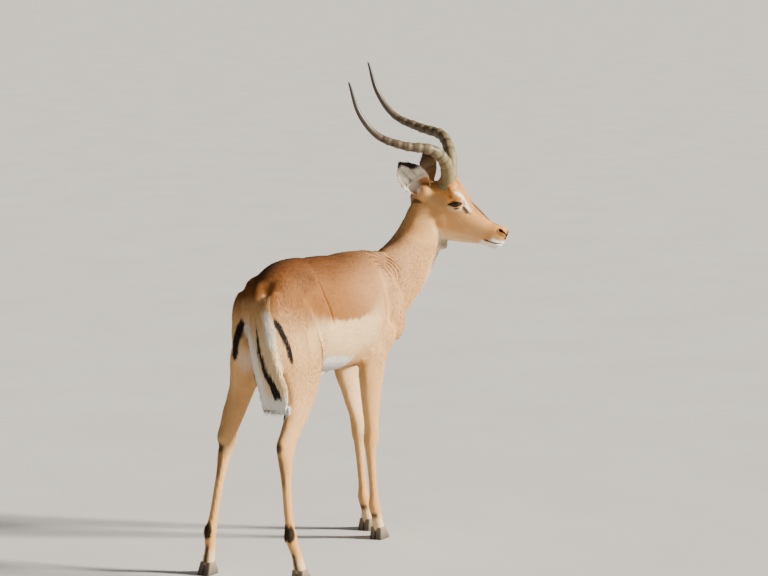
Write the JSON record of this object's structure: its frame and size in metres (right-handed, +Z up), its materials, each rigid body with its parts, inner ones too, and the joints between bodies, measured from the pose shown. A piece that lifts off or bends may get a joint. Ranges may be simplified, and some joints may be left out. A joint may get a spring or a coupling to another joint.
{
  "type": "impala antelope",
  "caption": "Life-size impala ram standing still with its head turned back to its right, ringed lyre-shaped horns and a hanging tail.",
  "frame": {"origin": "on the floor, under the middle of the animal's whole box from horn tips to hooves", "axes": "+X is the way the trunk faces, +Y the animal's left, +Z up"},
  "size_m": [1.0587, 0.4726, 1.4523],
  "materials": {
    "coat_rufous": "short glossy rufous hair over hide",
    "coat_tan": "short light tan hair over hide",
    "coat_white": "short whitish hair over hide",
    "horn": "ridged grey-brown horn",
    "hoof": "dark hoof horn",
    "eye": "wet dark eye"
  },
  "bodies": {
    "root": {"trunk": "coat_rufous", "neck": "coat_rufous", "head": "coat_rufous", "tail": "coat_rufous", "ear_left": "coat_rufous", "ear_right": "coat_rufous", "scrotum": "coat_white", "eye_left": "eye", "eye_right": "eye", "horn_left": "horn", "horn_right": "horn", "hind_left_upper": "coat_tan", "hind_left_cannon": "coat_tan", "hind_left_pastern": "coat_tan", "hind_right_upper": "coat_tan", "hind_right_cannon": "coat_tan", "hind_right_pastern": "coat_tan", "fore_left_upper": "coat_tan", "fore_left_cannon": "coat_tan", "fore_left_pastern": "coat_tan", "fore_right_upper": "coat_tan", "fore_right_cannon": "coat_tan", "fore_right_pastern": "coat_tan", "hoof_hind_left_inner": "hoof", "hoof_hind_left_outer": "hoof", "hoof_hind_right_inner": "hoof", "hoof_hind_right_outer": "hoof", "hoof_fore_left_inner": "hoof", "hoof_fore_left_outer": "hoof", "hoof_fore_right_inner": "hoof", "hoof_fore_right_outer": "hoof"}
  },
  "joints": []
}
